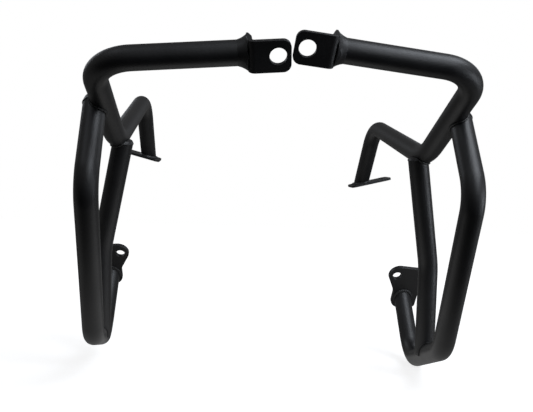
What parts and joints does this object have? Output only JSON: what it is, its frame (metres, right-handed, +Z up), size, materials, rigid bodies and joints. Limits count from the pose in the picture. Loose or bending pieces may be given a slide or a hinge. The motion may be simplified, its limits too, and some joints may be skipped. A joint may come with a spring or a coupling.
{
  "type": "motorcycle crash bars",
  "caption": "Mirrored welded tube crash bars for the sides of a motorcycle engine, with folded front brackets, lower lugs and rear foot plates, in satin black.",
  "frame": {"origin": "midway between the two front bolt holes", "axes": "X across the machine to the right-hand bar, Y to the rear, Z up"},
  "size_m": [0.5, 0.5448, 0.3985],
  "materials": {
    "satin_black_coat": "satin black powder coat on steel tube and plate",
    "coated_weld": "the same powder coat over rippled weld beads"
  },
  "bodies": {
    "root": {"right_top_tube": "satin_black_coat", "right_lower_loop": "satin_black_coat", "right_inner_strut": "satin_black_coat", "right_front_bracket": "satin_black_coat", "right_lower_mount_plate": "satin_black_coat", "right_rear_foot_plate": "satin_black_coat", "left_top_tube": "satin_black_coat", "left_lower_loop": "satin_black_coat", "left_inner_strut": "satin_black_coat", "left_front_bracket": "satin_black_coat", "left_lower_mount_plate": "satin_black_coat", "left_rear_foot_plate": "satin_black_coat", "right_front_weld": "coated_weld", "right_rear_foot_weld": "coated_weld", "right_lower_plate_weld": "coated_weld", "right_upright_weld": "coated_weld", "right_strut_top_weld": "coated_weld", "right_strut_foot_weld": "coated_weld", "left_front_weld": "coated_weld", "left_rear_foot_weld": "coated_weld", "left_lower_plate_weld": "coated_weld", "left_upright_weld": "coated_weld", "left_strut_top_weld": "coated_weld", "left_strut_foot_weld": "coated_weld"}
  },
  "joints": []
}
